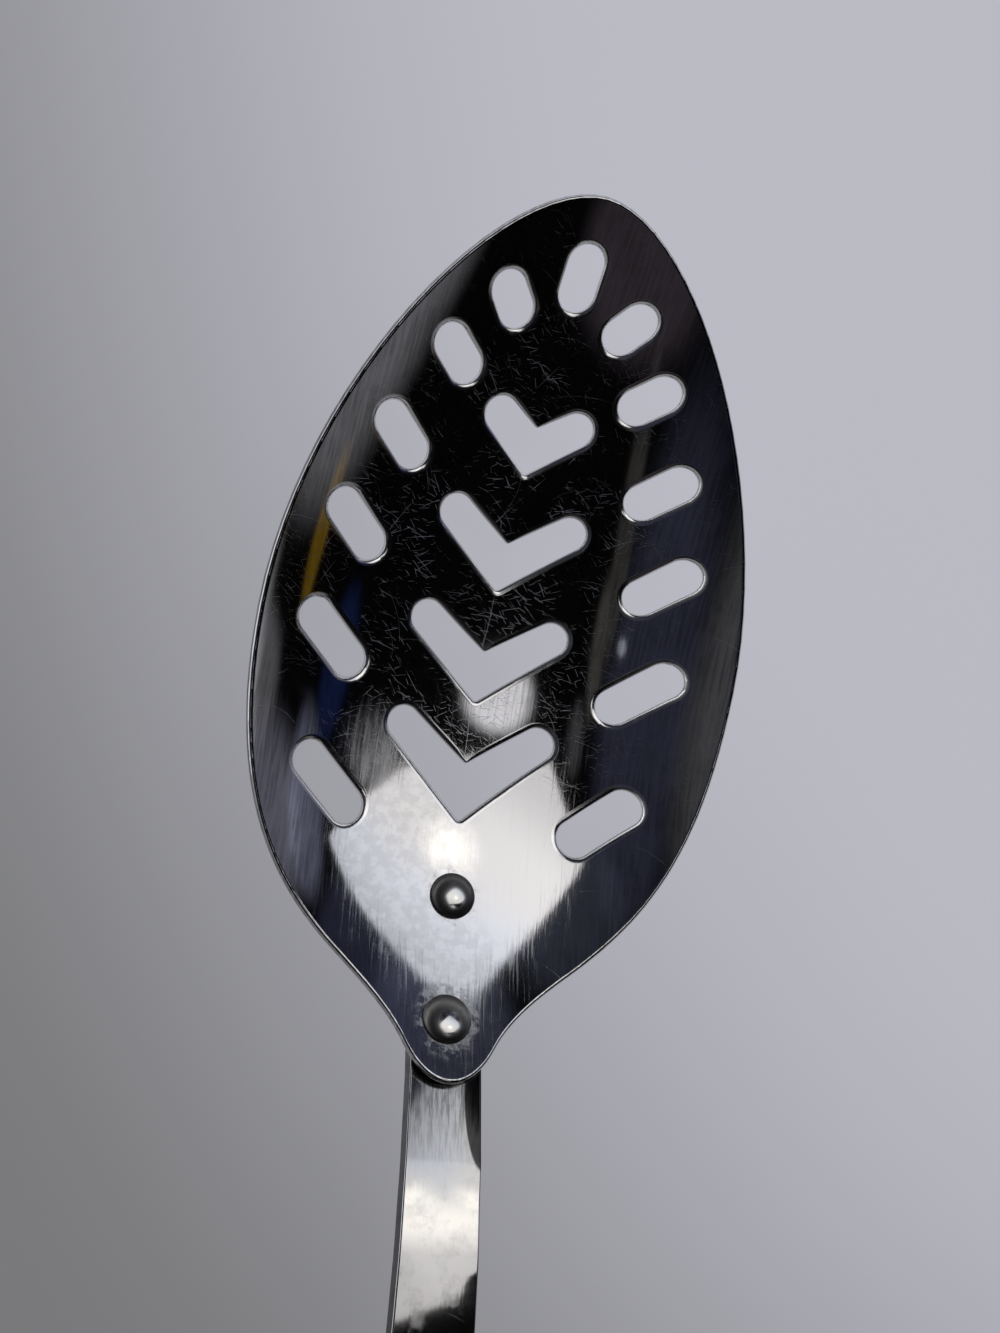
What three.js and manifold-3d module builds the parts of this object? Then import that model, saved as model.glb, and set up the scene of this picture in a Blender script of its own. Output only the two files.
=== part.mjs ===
import * as THREE from 'three';
import { mergeVertices } from 'three/addons/utils/BufferGeometryUtils.js';
import Module from 'manifold-3d';

// Pierced serving spoon in polished stainless steel. Millimetres, +Z up.
// The spoon's own frame: X across the bowl, +Y towards its tip, +Z out of the hollow,
// with y = 0 near the middle of the bowl. The whole spoon is then tipped back by restTilt,
// so that it lies on the table as it does after use, on the bowl and on the end of the handle.

const degrees = Math.PI / 180;

// Bowl: a pressed sheet whose height above the datum plane is a smooth formula
const bowlHalfWidth = 33;
const tipY = 52;
const widestY = -6.9;
const tabEndY = -61.4;
const sheetThickness = 1;
const lowestY = -5.7;
const lowestZ = -13.1;
const bowlHalfLength = 50;
const crownHalfWidth = 30;
const lengthwiseRise = [12.8, -3.3, 1.5];
const crosswiseRise = [6.8, 3, 2.9];
const wallRise = [2, -2];
const tabBendY = -50;
const sheetMargin = 1;
const sheetStep = 3;
const rimSegments = 20;

// Piercings: six slots down each side, one at the tip and four chevrons on the middle line.
// A slot is given by the centres of its round ends, on the right-hand side.
const slotWidth = 4.8;
const sideSlots = [
  { upper: [22.1, -25.5], lower: [16.2, -30.8] },
  { upper: [24.7, -7.2], lower: [19, -12.1] },
  { upper: [23.9, 7.3], lower: [19.5, 3.5] },
  { upper: [20.2, 19.4], lower: [16.5, 16.3] },
  { upper: [14.8, 30.5], lower: [12.2, 28.4] },
  { upper: [9, 38.6], lower: [7.4, 36.7] },
];
const tipSlot = { upper: [0, 44], lower: [0, 40.5] };
const piercingSegments = 6;
const chevronArmRadius = 2.3;
const chevrons = [
  { armEnd: [5.3, 23.7], innerY: 22.9, outerY: 16.5 },
  { armEnd: [8.1, 10], innerY: 7, outerY: 0.5 },
  { armEnd: [8.9, -4.7], innerY: -8.1, outerY: -15 },
  { armEnd: [9.6, -19.3], innerY: -23.5, outerY: -31.1 },
];

// Handle: one forged strip, riveted under the tab of the bowl
const stripThickness = 2.5;
const stripFrontY = -33.6;
const stripHalfWidth = 4.8;
const stripEndHalfWidth = 7.5;
const straightEndY = -73.5;
const archRadius = 65;
const fallAngle = 12 * degrees;
const heelRadius = 80;
const restLength = 20;
const restTilt = 5 * degrees;
const hangingHoleDiameter = 6.5;
const hangingHoleFromEnd = 8;
const stripFrontStep = 2.75;
const stripBendStep = 4 * degrees;
const stripEndSegments = 12;

// Rivets, set by hand a little off the middle line; both heads are half ellipsoids
const rivets = [
  { name: 'rivet_upper', x: -0.1, y: -40.6 },
  { name: 'rivet_lower', x: -0.4, y: -54.7 },
];
const rivetHeadDiameter = 6.2;
const rivetHeadHeight = 1.6;
const rivetShankDiameter = 3.8;
const rivetSegments = 32;
const rivetDomeSteps = 8;
const rivetHoleSegments = 24;
const clearance = 0.3;

// Cutting shapes reach well past the spoon; points nearer together than samePoint are one point
const uprightReach = 120;
const rivetHoleReach = 12;
const samePoint = 1e-3;
const slopeReach = 0.01;
const levelStep = 0.25;

const wasm = await Module();
wasm.setup();

function toSolid(geometry) {
  const bare = geometry.clone();
  bare.deleteAttribute('normal');
  bare.deleteAttribute('uv');
  const merged = mergeVertices(bare, 1e-4);
  return new wasm.Manifold(new wasm.Mesh({
    numProp: 3,
    vertProperties: new Float32Array(merged.attributes.position.array),
    triVerts: new Uint32Array(merged.index.array),
  }));
}

function toGeometry(solid) {
  const mesh = solid.getMesh();
  const geometry = new THREE.BufferGeometry();
  geometry.setAttribute('position', new THREE.BufferAttribute(mesh.vertProperties, 3));
  geometry.setIndex(new THREE.BufferAttribute(mesh.triVerts, 1));
  geometry.computeVertexNormals();
  return geometry;
}

// Height of the inner face of the bowl; the tab runs straight from tabBendY to its end
function formedHeight(x, y) {
  const s = (y - lowestY) / bowlHalfLength;
  const u = x / crownHalfWidth;
  const along = lengthwiseRise[0] * s ** 2 + lengthwiseRise[1] * s ** 3 + lengthwiseRise[2] * s ** 4;
  const across = crosswiseRise[0] + crosswiseRise[1] * s + crosswiseRise[2] * s ** 2;
  const wall = wallRise[0] + wallRise[1] * s;
  return lowestZ + along + across * u ** 2 + wall * u ** 4;
}

const slopeOf = (height) => (height(slopeReach) - height(-slopeReach)) / (2 * slopeReach);
const tabSlope = slopeOf((step) => formedHeight(0, tabBendY + step));

function innerHeight(x, y) {
  return y > tabBendY ? formedHeight(x, y) : formedHeight(x, tabBendY) + tabSlope * (y - tabBendY);
}

// Unit normal of the inner face on the middle line, as [y, z]
function middleNormal(y) {
  const slope = slopeOf((step) => innerHeight(0, y + step));
  const length = Math.hypot(slope, 1);
  return [-slope / length, 1 / length];
}

// A point on the middle line, a distance below the inner face, as [y, z]
function underMiddle(y, depth) {
  const [ny, nz] = middleNormal(y);
  return [y - ny * depth, innerHeight(0, y) - nz * depth];
}

// Closed sheet over the whole plan, cut to its outline afterwards
function sheetSolid() {
  const halfX = bowlHalfWidth + sheetMargin;
  const startY = tabEndY - sheetMargin;
  const lengthY = tipY + sheetMargin - startY;
  const columns = Math.ceil(2 * halfX / sheetStep);
  const rows = Math.ceil(lengthY / sheetStep);
  const positions = [];
  const indices = [];
  const layerSize = (columns + 1) * (rows + 1);
  for (const layer of [0, 1]) {
    for (let row = 0; row <= rows; row += 1) {
      for (let column = 0; column <= columns; column += 1) {
        const x = -halfX + 2 * halfX * column / columns;
        const y = startY + lengthY * row / rows;
        const slopeX = slopeOf((step) => innerHeight(x + step, y));
        const slopeY = slopeOf((step) => innerHeight(x, y + step));
        const depth = layer * sheetThickness * Math.hypot(1, slopeX, slopeY);
        positions.push(x, y, innerHeight(x, y) - depth);
      }
    }
  }
  const at = (layer, column, row) => layer * layerSize + row * (columns + 1) + column;
  const quad = (a, b, c, d) => indices.push(a, b, c, a, c, d);
  for (let row = 0; row < rows; row += 1) {
    for (let column = 0; column < columns; column += 1) {
      quad(at(0, column, row), at(0, column + 1, row), at(0, column + 1, row + 1), at(0, column, row + 1));
      quad(at(1, column, row), at(1, column, row + 1), at(1, column + 1, row + 1), at(1, column + 1, row));
    }
  }
  for (let column = 0; column < columns; column += 1) {
    quad(at(0, column, 0), at(1, column, 0), at(1, column + 1, 0), at(0, column + 1, 0));
    quad(at(0, column + 1, rows), at(1, column + 1, rows), at(1, column, rows), at(0, column, rows));
  }
  for (let row = 0; row < rows; row += 1) {
    quad(at(0, 0, row + 1), at(1, 0, row + 1), at(1, 0, row), at(0, 0, row));
    quad(at(0, columns, row), at(1, columns, row), at(1, columns, row + 1), at(0, columns, row + 1));
  }
  const geometry = new THREE.BufferGeometry();
  geometry.setAttribute('position', new THREE.Float32BufferAttribute(positions, 3));
  geometry.setIndex(indices);
  return toSolid(geometry);
}

// Plan outline of the bowl, right half first: the egg-shaped rim runs in an S into the round-ended tab
function bowlOutline() {
  const shape = new THREE.Shape();
  const half = [
    [[13.45, tipY], [bowlHalfWidth, 21.7], [bowlHalfWidth, widestY]],
    [[bowlHalfWidth, -30.2], [25.1, -40.2], [17.8, -46.6]],
    [[13.8, -49.8], [8.7, -53.3], [6.2, -57.1]],
    [[4.7, -59.4], [2.5, tabEndY], [0, tabEndY]],
  ];
  shape.moveTo(0, tipY);
  for (const [a, b, c] of half) shape.bezierCurveTo(...a, ...b, ...c);
  for (let i = half.length - 1; i >= 0; i -= 1) {
    const [a, b] = half[i];
    const end = i > 0 ? half[i - 1][2] : [0, tipY];
    shape.bezierCurveTo(-b[0], b[1], -a[0], a[1], -end[0], end[1]);
  }
  return shape;
}

// A plan shape as an upright solid that passes right through the spoon; meeting ends of its curves
// become one point
function uprightSolid(shape, curveSegments) {
  const points = shape.getPoints(curveSegments);
  const outline = points.filter((point, i) => point.distanceTo(points[(i + 1) % points.length]) > samePoint);
  const plan = new THREE.Shape(outline);
  const geometry = new THREE.ExtrudeGeometry(plan, { depth: uprightReach, bevelEnabled: false });
  geometry.translate(0, 0, -uprightReach / 2);
  return toSolid(geometry);
}

function slotShape({ upper, lower }, side) {
  const [ux, uy] = [upper[0] * side, upper[1]];
  const [lx, ly] = [lower[0] * side, lower[1]];
  const angle = Math.atan2(uy - ly, ux - lx);
  const shape = new THREE.Shape();
  shape.absarc(ux, uy, slotWidth / 2, angle - Math.PI / 2, angle + Math.PI / 2, false);
  shape.absarc(lx, ly, slotWidth / 2, angle + Math.PI / 2, angle + Math.PI * 1.5, false);
  return shape;
}

// A chevron's arms widen towards its point: straight edges from both apexes, tangent to the round arm ends
function chevronShape({ armEnd, innerY, outerY }) {
  const [armX, armY] = armEnd;
  const tangentAngle = (apexY, turn) => {
    const reach = Math.hypot(armX, armY - apexY);
    return Math.atan2(apexY - armY, -armX) + turn * Math.acos(chevronArmRadius / reach);
  };
  const outerAngle = tangentAngle(outerY, 1);
  const innerAngle = tangentAngle(innerY, -1);
  const shape = new THREE.Shape();
  shape.absarc(armX, armY, chevronArmRadius, outerAngle, innerAngle, false);
  shape.lineTo(0, innerY);
  shape.absarc(-armX, armY, chevronArmRadius, Math.PI - innerAngle, Math.PI - outerAngle, false);
  shape.lineTo(0, outerY);
  return shape;
}

// A piece made along the Y axis is turned onto the normal of the bowl where the rivet sits
function turnToRivet(geometry, { x, y }, depth) {
  const [ny, nz] = middleNormal(y);
  const [py, pz] = underMiddle(y, depth);
  geometry.rotateX(Math.atan2(nz, ny));
  geometry.translate(x, py, pz);
  return geometry;
}

function rivetHole(rivet) {
  const radius = rivetShankDiameter / 2 + clearance;
  const cutter = new THREE.CylinderGeometry(radius, radius, rivetHoleReach, rivetHoleSegments);
  return toSolid(turnToRivet(cutter, rivet, sheetThickness));
}

function bowlSolid() {
  let solid = sheetSolid().intersect(uprightSolid(bowlOutline(), rimSegments));
  const pierce = (shape) => {
    solid = solid.subtract(uprightSolid(shape, piercingSegments));
  };
  for (const slot of sideSlots) {
    for (const side of [-1, 1]) pierce(slotShape(slot, side));
  }
  pierce(slotShape(tipSlot, 1));
  for (const chevron of chevrons) pierce(chevronShape(chevron));
  for (const rivet of rivets) solid = solid.subtract(rivetHole(rivet));
  return solid;
}

// Height above the table, less a constant, of a point of the spoon's middle plane once it is tipped back
const levelOf = (y, z) => y * Math.sin(restTilt) + z * Math.cos(restTilt);

function tableLevel() {
  let lowest = Infinity;
  for (let y = tabBendY; y < tipY; y += levelStep) {
    lowest = Math.min(lowest, levelOf(...underMiddle(y, sheetThickness)));
  }
  return lowest;
}

// Upper face of the strip in the middle plane, from its front end under the bowl to its back end.
// Each point is { y, z, heading }; the heading is the strip's climb as it runs back, towards -Y.
function stripPath() {
  const depth = sheetThickness + clearance;
  const points = [];
  for (let y = stripFrontY; y > tabBendY; y -= stripFrontStep) {
    const [ny, nz] = middleNormal(y);
    const [py, pz] = underMiddle(y, depth);
    points.push({ y: py, z: pz, heading: Math.atan2(ny, nz) });
  }
  const [bendY, bendZ] = underMiddle(tabBendY - 2 * slopeReach, depth);
  points.push({ y: bendY, z: bendZ, heading: Math.atan(-tabSlope) });
  const last = () => points[points.length - 1];
  const runStraight = (length) => {
    const { y, z, heading } = last();
    points.push({ y: y - length * Math.cos(heading), z: z + length * Math.sin(heading), heading });
  };
  const bendTo = (radius, target) => {
    const { y, z, heading: start } = last();
    const turn = Math.sign(target - start);
    const steps = Math.ceil(Math.abs(target - start) / stripBendStep);
    for (let i = 1; i <= steps; i += 1) {
      const heading = start + (target - start) * i / steps;
      points.push({
        y: y - turn * radius * (Math.sin(heading) - Math.sin(start)),
        z: z - turn * radius * (Math.cos(heading) - Math.cos(start)),
        heading,
      });
    }
  };
  runStraight((bendY - straightEndY) / Math.cos(last().heading));
  bendTo(archRadius, -fallAngle);
  const slide = fallAngle + restTilt;
  const heelDrop = heelRadius * (1 - Math.cos(slide));
  const drop = levelOf(last().y, last().z) - tableLevel() - stripThickness;
  runStraight((drop - heelDrop) / Math.sin(slide));
  bendTo(heelRadius, restTilt);
  runStraight(restLength);
  return points;
}

// Side view of the strip, drawn with y across and z up, and pushed out across the spoon
function stripSideSolid(path) {
  const upper = path.map(({ y, z }) => new THREE.Vector2(y, z));
  const lower = path.map(({ y, z, heading }) => new THREE.Vector2(
    y - stripThickness * Math.sin(heading),
    z - stripThickness * Math.cos(heading),
  ));
  const shape = new THREE.Shape([...upper, ...lower.reverse()]);
  const width = 2 * stripEndHalfWidth + 2;
  const geometry = new THREE.ExtrudeGeometry(shape, { depth: width, bevelEnabled: false });
  const across = new THREE.Matrix4().makeBasis(
    new THREE.Vector3(0, 1, 0),
    new THREE.Vector3(0, 0, 1),
    new THREE.Vector3(1, 0, 0),
  );
  geometry.applyMatrix4(across);
  geometry.translate(-width / 2, 0, 0);
  return toSolid(geometry);
}

// Plan of the strip: round ends, even width under the bowl, widening from the tab to the back end
function stripOutline(endY) {
  const shape = new THREE.Shape();
  shape.absarc(0, stripFrontY - stripHalfWidth, stripHalfWidth, 0, Math.PI, false);
  shape.lineTo(-stripHalfWidth, tabEndY);
  shape.lineTo(-stripEndHalfWidth, endY + stripEndHalfWidth);
  shape.absarc(0, endY + stripEndHalfWidth, stripEndHalfWidth, Math.PI, 2 * Math.PI, false);
  shape.lineTo(stripHalfWidth, tabEndY);
  return shape;
}

function handleSolid() {
  const path = stripPath();
  const endY = path[path.length - 1].y;
  const hangingHole = new THREE.Shape();
  hangingHole.absarc(0, endY + hangingHoleFromEnd, hangingHoleDiameter / 2, 0, 2 * Math.PI, false);
  let solid = stripSideSolid(path).intersect(uprightSolid(stripOutline(endY), stripEndSegments));
  solid = solid.subtract(uprightSolid(hangingHole, stripEndSegments));
  for (const rivet of rivets) solid = solid.subtract(rivetHole(rivet));
  return solid;
}

// One rivet in section: a domed head on each face of the sheet and strip, and a shank between them
function rivetGeometry(rivet) {
  const headRadius = rivetHeadDiameter / 2;
  const shankRadius = rivetShankDiameter / 2;
  const seatTop = clearance;
  const seatBottom = -(sheetThickness + stripThickness + 2 * clearance);
  const dome = (seat, side) => {
    const points = [];
    for (let i = 0; i <= rivetDomeSteps; i += 1) {
      const angle = Math.PI / 2 * i / rivetDomeSteps;
      const rise = rivetHeadHeight * Math.cos(angle);
      points.push(new THREE.Vector2(headRadius * Math.sin(angle), seat + side * rise));
    }
    return points;
  };
  const profile = [
    ...dome(seatBottom, -1),
    new THREE.Vector2(shankRadius, seatBottom),
    new THREE.Vector2(shankRadius, seatTop),
    ...dome(seatTop, 1).reverse(),
  ];
  return turnToRivet(new THREE.LatheGeometry(profile, rivetSegments), rivet, 0);
}

function makeMesh(name, geometry, color, roughness) {
  const material = new THREE.MeshStandardMaterial({ color, roughness, metalness: 1 });
  const mesh = new THREE.Mesh(geometry, material);
  mesh.name = name;
  return mesh;
}

const spoon = new THREE.Group();
spoon.add(makeMesh('bowl', toGeometry(bowlSolid()), 0xc6c7cb, 0.12));
spoon.add(makeMesh('handle_strip', toGeometry(handleSolid()), 0xcdcccb, 0.22));
for (const rivet of rivets) spoon.add(makeMesh(rivet.name, rivetGeometry(rivet), 0xb9babd, 0.15));
spoon.rotation.x = restTilt;

// The origin is on the table, under the middle of the whole spoon
const box = new THREE.Box3().setFromObject(spoon, true);
spoon.position.set(0, -(box.min.y + box.max.y) / 2, -box.min.z);

const root = new THREE.Group();
root.add(spoon);

export default root;
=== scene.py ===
import math

import bpy
import numpy as np
from mathutils import Matrix, Vector


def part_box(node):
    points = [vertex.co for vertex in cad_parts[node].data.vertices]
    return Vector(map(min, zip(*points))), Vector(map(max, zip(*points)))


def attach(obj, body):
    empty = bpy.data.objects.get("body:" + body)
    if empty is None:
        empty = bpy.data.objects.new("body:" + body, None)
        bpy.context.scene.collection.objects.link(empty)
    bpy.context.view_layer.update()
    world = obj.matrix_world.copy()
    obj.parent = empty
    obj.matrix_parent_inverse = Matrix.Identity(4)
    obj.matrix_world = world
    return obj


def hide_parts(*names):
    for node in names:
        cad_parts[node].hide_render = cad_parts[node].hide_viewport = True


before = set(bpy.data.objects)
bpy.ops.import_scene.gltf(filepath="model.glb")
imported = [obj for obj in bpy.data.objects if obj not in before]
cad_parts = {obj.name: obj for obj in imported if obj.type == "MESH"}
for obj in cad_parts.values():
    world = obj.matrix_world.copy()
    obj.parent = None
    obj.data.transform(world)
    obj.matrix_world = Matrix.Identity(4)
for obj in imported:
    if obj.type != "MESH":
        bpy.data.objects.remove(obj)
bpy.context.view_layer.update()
scene = bpy.context.scene
mm = 0.001
print("frame loaded")

# The spoon's own frame, in millimetres: X across the bowl, +Y to its tip, +Z out of the hollow
spoon = {
    "tilt": math.radians(5),  # the whole spoon is tipped back to lie on the table
    "tipY": 52.0,
    "tabEndY": -61.1,
    "sheet": 1.0,
    "lowestY": -5.7,
    "lowestZ": -13.1,
    "halfLength": 50.0,
    "crownHalfWidth": 30.0,
    "lengthwiseRise": (12.8, -3.3, 1.5),
    "crosswiseRise": (6.8, 3.0, 2.9),
    "wallRise": (2.0, -2.0),
    "tabBendY": -50.0,
    "bendBlend": 3.0,
    "liftStartY": -50.0,
    "tabLift": 0.72,  # at the tab's end, off the strip
}


def formedHeight(x, y):
    s = (y - spoon["lowestY"]) / spoon["halfLength"]
    u = x / spoon["crownHalfWidth"]
    a, b, c = spoon["lengthwiseRise"]
    d, e, f = spoon["crosswiseRise"]
    g, h = spoon["wallRise"]
    onMiddle = spoon["lowestZ"] + a * s**2 + b * s**3 + c * s**4
    return onMiddle + (d + e * s + f * s**2) * u**2 + (g + h * s) * u**4


def restingHeight(x, y):
    # the inner face before the tab's end is lifted
    bendY, e = spoon["tabBendY"], 0.01
    slope = (formedHeight(0, bendY + e) - formedHeight(0, bendY - e)) / (2 * e)
    beyond = (y - bendY + np.sqrt((y - bendY) ** 2 + spoon["bendBlend"] ** 2)) / 2
    return formedHeight(x, bendY + beyond) + slope * (y - bendY - beyond)


def liftAt(y):
    reach = np.clip((spoon["liftStartY"] - y) / (spoon["liftStartY"] - spoon["tabEndY"]), 0, None)
    return spoon["tabLift"] * reach**2


def innerHeight(x, y):
    return restingHeight(x, y) + liftAt(y)


def innerNormal(x, y):
    e = 0.01
    slopeX = (innerHeight(x + e, y) - innerHeight(x - e, y)) / (2 * e)
    slopeY = (innerHeight(x, y + e) - innerHeight(x, y - e)) / (2 * e)
    normal = np.stack([-slopeX, -slopeY, np.ones_like(slopeX)], axis=-1)
    return normal / np.linalg.norm(normal, axis=-1, keepdims=True)


def pressedPoint(points):
    # a blank's point (x, y, height above the inner face) goes to its place on the pressed bowl
    x, y, height = points[:, 0], points[:, 1], points[:, 2]
    face = np.stack([x, y, innerHeight(x, y)], axis=-1)
    return face + innerNormal(x, y) * height[:, None]


# The table is the plane that the tipped bowl touches; the tip of the CAD bowl gives the place along Y
cosTilt, sinTilt = math.cos(spoon["tilt"]), math.sin(spoon["tilt"])
samples = 400
underside = pressedPoint(np.column_stack([
    np.zeros(samples), np.linspace(spoon["tabBendY"], spoon["tipY"], samples),
    np.full(samples, -spoon["sheet"])]))
tableLevel = (underside[:, 1] * sinTilt + underside[:, 2] * cosTilt).min()
tipUnder = innerHeight(0.0, spoon["tipY"]) - spoon["sheet"]
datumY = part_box("bowl")[1][1] / mm - (spoon["tipY"] * cosTilt - tipUnder * sinTilt)
datumZ = -tableLevel


def toTable(points):
    # from the spoon's own frame, in millimetres, to the shared frame, in metres
    x, y, z = points[:, 0], points[:, 1], points[:, 2]
    turned = [x, y * cosTilt - z * sinTilt + datumY, y * sinTilt + z * cosTilt + datumZ]
    return np.stack(turned, axis=-1) * mm


def tablePoint(x, y, z):
    return Vector(toTable(np.array([[x, y, z]]))[0])


def spotOf(x, y):
    # the inner face's point at (x, y)
    return tablePoint(x, y, float(innerHeight(x, y)))


# Camera, at the photograph's viewing angle: close above the bowl, from its left
view = {
    "spot": (-59.86, 79.27, 198.49),
    "aim": (-0.25, 87.52, 10.0),
    "up": (-0.175, 0.9845, -0.012),
    "lens": 40.5,
}


def makeCamera():
    camera = bpy.data.objects.new("photoCamera", bpy.data.cameras.new("photoCamera"))
    scene.collection.objects.link(camera)
    camera.data.lens = view["lens"]
    camera.data.clip_start = 0.01
    spot, aim = Vector(view["spot"]) * mm, Vector(view["aim"]) * mm
    back = (spot - aim).normalized()
    right = Vector(view["up"]).cross(back).normalized()
    turned = Matrix((right, back.cross(right), back)).transposed().to_4x4()
    camera.matrix_world = Matrix.Translation(spot) @ turned
    scene.camera = camera


makeCamera()
scene.view_settings.view_transform = "Standard"


# Outlines, as lists of (x, y) in millimetres
def curvePoints(start, pieces, steps):
    # points along joined cubic curves, each piece its two handles and its end
    points = [start]
    for a, b, end in pieces:
        p0 = points[-1]
        for i in range(1, steps + 1):
            t = i / steps
            w = ((1 - t) ** 3, 3 * t * (1 - t) ** 2, 3 * t**2 * (1 - t), t**3)
            points.append(tuple(sum(k * p[n] for k, p in zip(w, (p0, a, b, end))) for n in (0, 1)))
    return points


def bowlOutline():
    end = spoon["tabEndY"]
    half = curvePoints((0.0, spoon["tipY"]), [
        ((13.45, spoon["tipY"]), (32.75, 21.7), (32.75, -6.9)),
        ((32.75, -30.2), (25.0, -40.1), (17.7, -46.5)),
        ((13.8, -49.8), (8.7, -53.3), (6.2, -57.1)),
        ((4.7, -59.4), (2.5, end), (0.0, end)),
    ], 24)
    return half + [(-x, y) for x, y in reversed(half[1:-1])]


def arcPoints(centre, radius, start, end, steps):
    angles = [start + (end - start) * i / steps for i in range(steps + 1)]
    return [(centre[0] + radius * math.cos(a), centre[1] + radius * math.sin(a)) for a in angles]


piercing = {
    "slotWidth": 4.8,
    "sideSlots": [
        ((22.1, -25.5), (16.2, -30.8)),
        ((24.7, -7.2), (19.0, -12.1)),
        ((23.9, 7.3), (19.5, 3.5)),
        ((20.2, 19.4), (16.5, 16.3)),
        ((14.8, 30.5), (12.2, 28.4)),
        ((9.0, 38.6), (7.4, 36.7)),
    ],
    "tipSlot": ((0.0, 44.0), (0.0, 40.5)),
    "armRadius": 2.3,
    "chevrons": [  # round end of the arm, inner apex, outer apex
        ((5.3, 23.7), 22.9, 16.5),
        ((8.1, 10.0), 7.0, 0.5),
        ((8.9, -4.7), -8.1, -15.0),
        ((9.6, -19.3), -23.5, -31.1),
    ],
    "apexRadius": 0.5,
    "apexSteps": 5,
    "steps": 16,
}


def slotPoints(upper, lower, side):
    high, low = (upper[0] * side, upper[1]), (lower[0] * side, lower[1])
    angle = math.atan2(high[1] - low[1], high[0] - low[0])
    r, n, quarter = piercing["slotWidth"] / 2, piercing["steps"], math.pi / 2
    highEnd = arcPoints(high, r, angle - quarter, angle + quarter, n)
    return highEnd + arcPoints(low, r, angle + quarter, angle + 3 * quarter, n)


def roundedCorner(before, corner, after, radius, steps):
    # the corner's points, rounded by an arc that touches both sides
    corner = Vector(corner)
    a, b = (Vector(before) - corner).normalized(), (Vector(after) - corner).normalized()
    half = a.angle(b) / 2
    centre = corner + (a + b).normalized() * radius / math.sin(half)
    first, last = (corner + side * radius / math.tan(half) - centre for side in (a, b))
    points = []
    for i in range(steps + 1):
        arm = first.lerp(last, i / steps).normalized() * radius
        points.append(tuple(centre + arm))
    return points


def chevronPoints(armEnd, innerY, outerY):
    r, n = piercing["armRadius"], piercing["steps"]
    apex = piercing["apexRadius"], piercing["apexSteps"]
    x, y = armEnd

    def tangent(apexY, turn):
        return math.atan2(apexY - y, -x) + turn * math.acos(r / math.hypot(x, apexY - y))

    outer, inner = tangent(outerY, 1), tangent(innerY, -1) + 2 * math.pi
    right = arcPoints((x, y), r, outer, inner, n)
    left = [(-px, py) for px, py in reversed(right)]
    innerCorner = roundedCorner(right[-1], (0, innerY), left[0], *apex)
    outerCorner = roundedCorner(left[-1], (0, outerY), right[0], *apex)
    return right + innerCorner + left + outerCorner


def selectOnly(piece):
    bpy.ops.object.select_all(action="DESELECT")
    piece.select_set(True)
    bpy.context.view_layer.objects.active = piece


# A blank is a flat plate with rounded edges and holes, sliced fine enough to be formed
def cutBlank(name, outline, holes, thickness, edgeRadius, sliceX, sliceY):
    curve = bpy.data.curves.new(name, "CURVE")
    curve.dimensions = "2D"
    curve.fill_mode = "BOTH"
    curve.extrude = thickness / 2 - edgeRadius
    curve.bevel_depth = edgeRadius
    curve.bevel_resolution = 3
    curve.offset = -edgeRadius
    for points in [outline] + holes:
        spline = curve.splines.new("POLY")
        spline.points.add(len(points) - 1)
        for point, (x, y) in zip(spline.points, points):
            point.co = (x, y, 0, 1)
        spline.use_cyclic_u = True
    piece = bpy.data.objects.new(name, curve)
    scene.collection.objects.link(piece)
    selectOnly(piece)
    bpy.ops.object.convert(target="MESH")
    piece = bpy.context.object
    bpy.ops.object.mode_set(mode="EDIT")
    bpy.ops.mesh.select_all(action="SELECT")
    bpy.ops.mesh.remove_doubles(threshold=1e-4)
    bpy.ops.mesh.dissolve_limited(angle_limit=math.radians(0.2))
    bpy.ops.mesh.normals_make_consistent(inside=False)
    for axis, cuts in ((0, sliceX), (1, sliceY)):
        for place in cuts:
            spot, normal = [0, 0, 0], [0, 0, 0]
            spot[axis], normal[axis] = place, 1
            bpy.ops.mesh.select_all(action="SELECT")
            bpy.ops.mesh.bisect(plane_co=spot, plane_no=normal)
    bpy.ops.object.mode_set(mode="OBJECT")
    return piece


def blankNormals(mesh):
    # a vertex on a flat face keeps that face's normal; the others share their round edge's faces
    count = len(mesh.polygons)
    normals, areas = np.empty(count * 3), np.empty(count)
    mesh.polygons.foreach_get("normal", normals)
    mesh.polygons.foreach_get("area", areas)
    normals = normals.reshape(-1, 3)
    sizes = np.empty(count, dtype=int)
    mesh.polygons.foreach_get("loop_total", sizes)
    corners = np.empty(len(mesh.loops), dtype=int)
    mesh.loops.foreach_get("vertex_index", corners)
    owner = np.repeat(np.arange(count), sizes)
    flat = np.abs(normals[:, 2]) > 0.9999
    weight = np.where(flat, 1e6, areas + 1e-9)
    total = np.zeros((len(mesh.vertices), 3))
    np.add.at(total, corners, (normals * weight[:, None])[owner])
    return total / np.linalg.norm(total, axis=1, keepdims=True)


def awayFromHoles(points, holes):
    # distance in plan from the nearest hole's edge, and the direction away from that edge;
    # a point further than the reach from every hole counts as far away
    reach = 2.5
    best = np.full(len(points), 1e9)
    away = np.zeros((len(points), 2))
    for hole in holes:
        ring = np.array(hole)
        near = np.all((points > ring.min(axis=0) - reach) & (points < ring.max(axis=0) + reach), axis=1)
        spots = points[near]
        for a, b in zip(ring, np.roll(ring, -1, axis=0)):
            run = b - a
            share = np.clip((spots - a) @ run / (run @ run), 0, 1)
            apart = spots - (a + share[:, None] * run)
            length = np.linalg.norm(apart, axis=1)
            closer = length < best[near]
            index = np.flatnonzero(near)[closer]
            best[index] = length[closer]
            away[index] = apart[closer] / np.maximum(length[closer], 1e-6)[:, None]
    return best, away


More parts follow.
